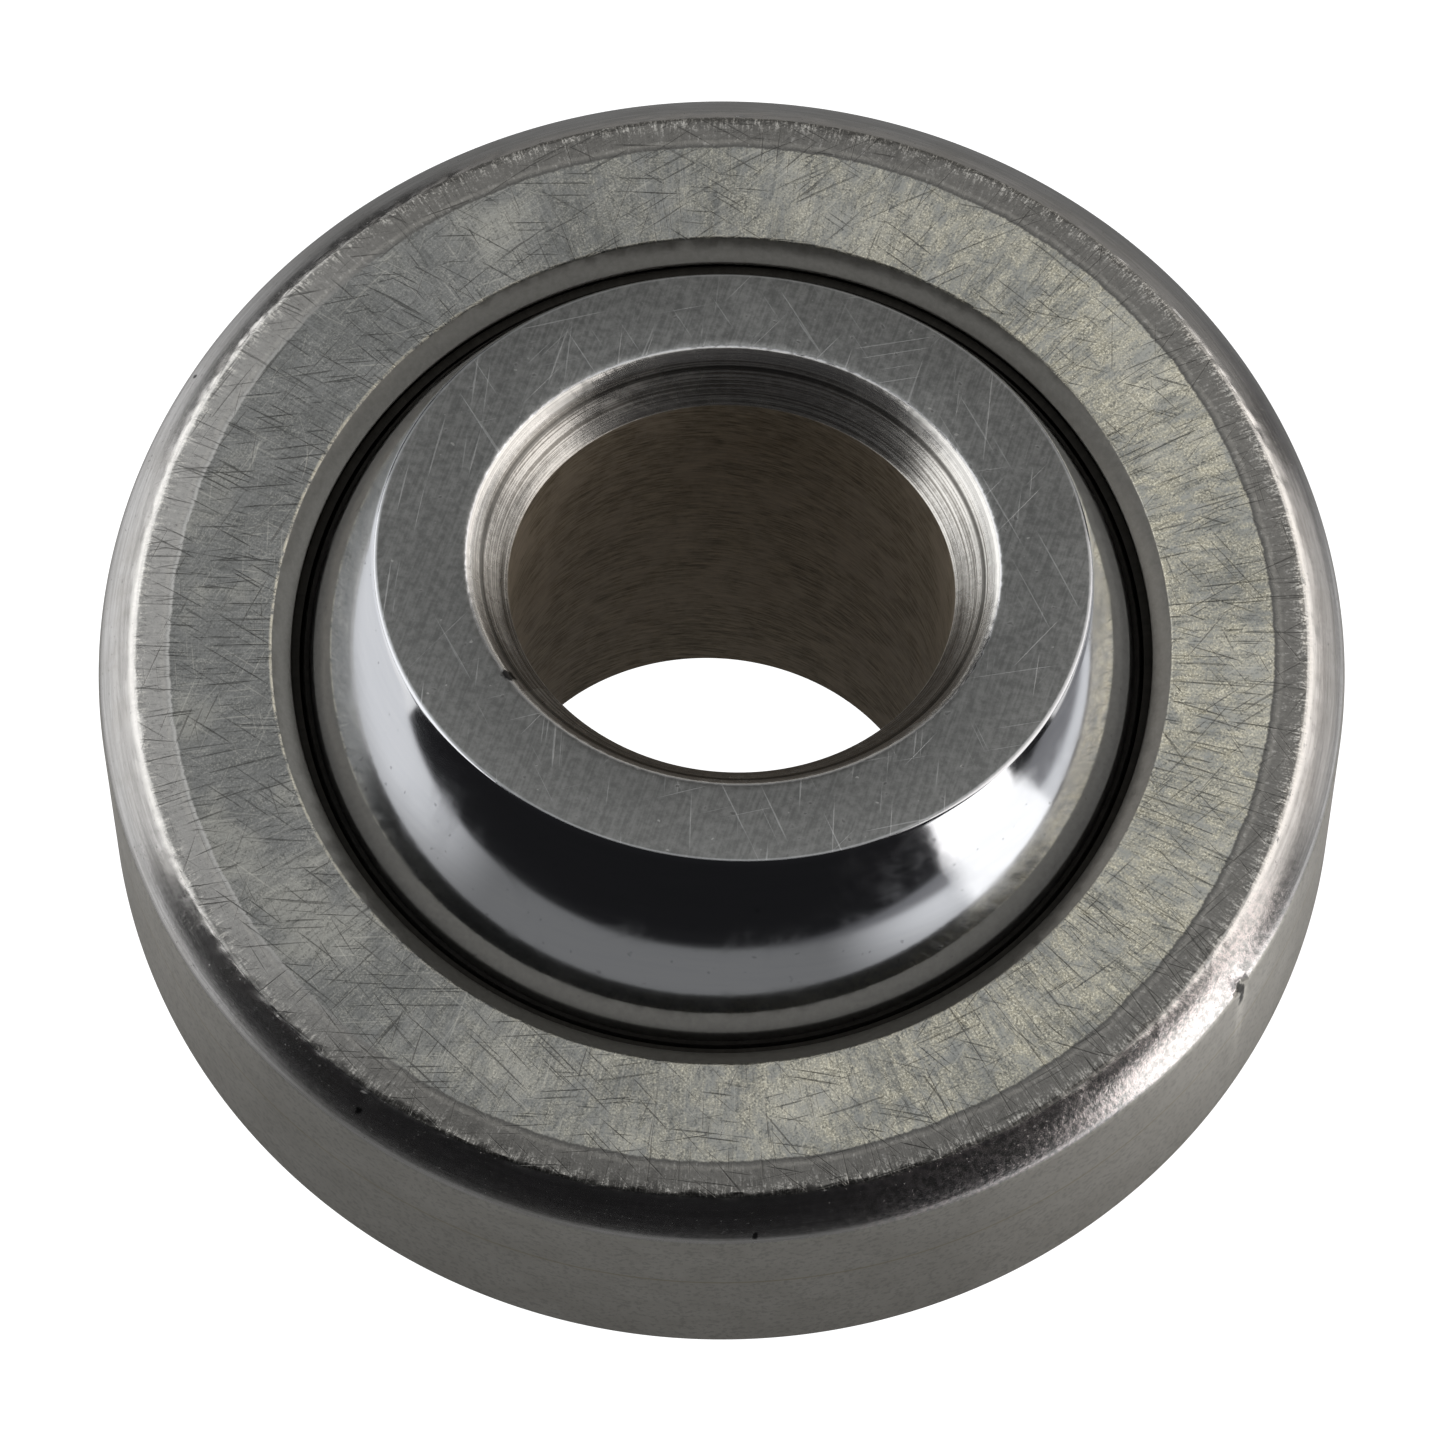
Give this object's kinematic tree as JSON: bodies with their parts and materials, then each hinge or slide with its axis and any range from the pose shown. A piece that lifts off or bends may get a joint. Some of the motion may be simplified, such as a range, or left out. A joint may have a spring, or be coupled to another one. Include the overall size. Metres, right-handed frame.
{
  "type": "spherical plain bearing",
  "caption": "Spherical plain bearing for a rod end: a polished ball with flat ends and a through bore, tilting and turning in a closed outer race over a thin liner.",
  "frame": {"origin": "centre of the ball, on the bore's axis half way between its two flat faces", "axes": "+Z along the bore; at rest the outer race leans 11.5 degrees about X, its -Y side lower"},
  "size_m": [0.014, 0.0144, 0.0064],
  "materials": {
    "race_steel": "ground and lightly scratched, satin",
    "liner_composite": "dark woven PTFE composite, matt",
    "ball_steel": "mirror-polished sphere with ground faces and a honed bore"
  },
  "bodies": {
    "outer_race": {"outer_race": "race_steel"},
    "liner": {"liner": "liner_composite"},
    "ball": {"ball": "ball_steel"}
  },
  "joints": [
    {"name": "ball_turn", "type": "hinge", "parent": "outer_race", "child": "liner", "pos_m": [0, 0, 0], "axis": [0, -0.1994, 0.9799], "continuous": true},
    {"name": "ball_tilt", "type": "hinge", "parent": "liner", "child": "ball", "pos_m": [0, 0, 0], "axis": [1, 0, 0], "range_deg": [-1.5, 24.5]}
  ]
}
